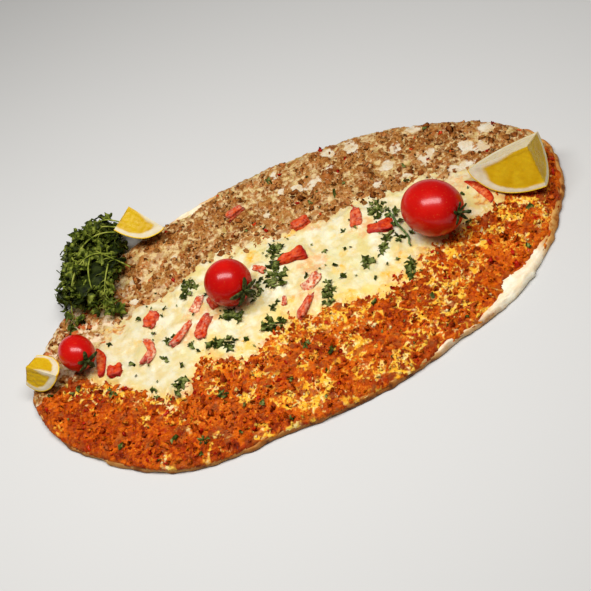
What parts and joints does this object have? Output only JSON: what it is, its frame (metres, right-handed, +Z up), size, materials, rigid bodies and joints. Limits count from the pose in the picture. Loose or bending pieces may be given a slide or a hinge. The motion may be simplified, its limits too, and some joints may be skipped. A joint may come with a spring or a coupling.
{
  "type": "lahmacun",
  "caption": "Thin oval flatbread with bands of browned mince, melted cheese and red mince, garnished with cherry tomatoes, lemon wedges, diced tomato and parsley; lies flat.",
  "frame": {"origin": "the middle of the bread's flat underside", "axes": "+X along the bread's long axis towards the large lemon wedge, +Y towards its back edge with the brown mince and the parsley bunch, +Z up"},
  "size_m": [0.3417, 0.2188, 0.041],
  "materials": {
    "dough": "baked flatbread, floured cream rim with toasted edge",
    "brown_meat": "browned minced meat crumbs over pale melted cheese",
    "cheese": "melted cheese, cream yellow, soft sheen, golden blisters",
    "red_meat": "oily orange red minced meat with yellow cheese shreds",
    "tomato_skin": "smooth glossy ripe tomato skin",
    "tomato_calyx": "dark green sepals and stem",
    "lemon": "wet lemon flesh, white pith and waxy yellow rind",
    "parsley_bunch": "fresh flat parsley leaves and pale stems",
    "cut_tomato": "moist cut tomato",
    "parsley_leaf": "wilted dark green parsley leaves"
  },
  "bodies": {
    "root": {"brown_meat_layer": "brown_meat", "cheese_layer": "cheese", "cherry_tomato_left": "tomato_skin", "cherry_tomato_middle": "tomato_skin", "cherry_tomato_right": "tomato_skin", "dough_base": "dough", "lemon_wedge_back": "lemon", "lemon_wedge_left": "lemon", "lemon_wedge_right": "lemon", "parsley_bunch": "parsley_bunch", "parsley_sprig_01": "parsley_leaf", "parsley_sprig_02": "parsley_leaf", "parsley_sprig_03": "parsley_leaf", "parsley_sprig_04": "parsley_leaf", "parsley_sprig_05": "parsley_leaf", "parsley_sprig_06": "parsley_leaf", "parsley_sprig_07": "parsley_leaf", "parsley_sprig_08": "parsley_leaf", "parsley_sprig_09": "parsley_leaf", "parsley_sprig_10": "parsley_leaf", "parsley_sprig_11": "parsley_leaf", "parsley_sprig_12": "parsley_leaf", "parsley_stalk": "parsley_leaf", "red_meat_layer": "red_meat", "tomato_calyx_left": "tomato_calyx", "tomato_calyx_middle": "tomato_calyx", "tomato_calyx_right": "tomato_calyx", "tomato_piece_01": "cut_tomato", "tomato_piece_02": "cut_tomato", "tomato_piece_03": "cut_tomato", "tomato_piece_04": "cut_tomato", "tomato_piece_05": "cut_tomato", "tomato_piece_06": "cut_tomato", "tomato_piece_07": "cut_tomato", "tomato_piece_08": "cut_tomato", "tomato_piece_09": "cut_tomato", "tomato_piece_10": "cut_tomato", "tomato_piece_11": "cut_tomato", "tomato_piece_12": "cut_tomato", "tomato_piece_13": "cut_tomato", "tomato_piece_14": "cut_tomato", "tomato_piece_15": "cut_tomato", "tomato_piece_16": "cut_tomato", "tomato_slice_left": "cut_tomato", "tomato_slice_right": "cut_tomato"}
  },
  "joints": []
}
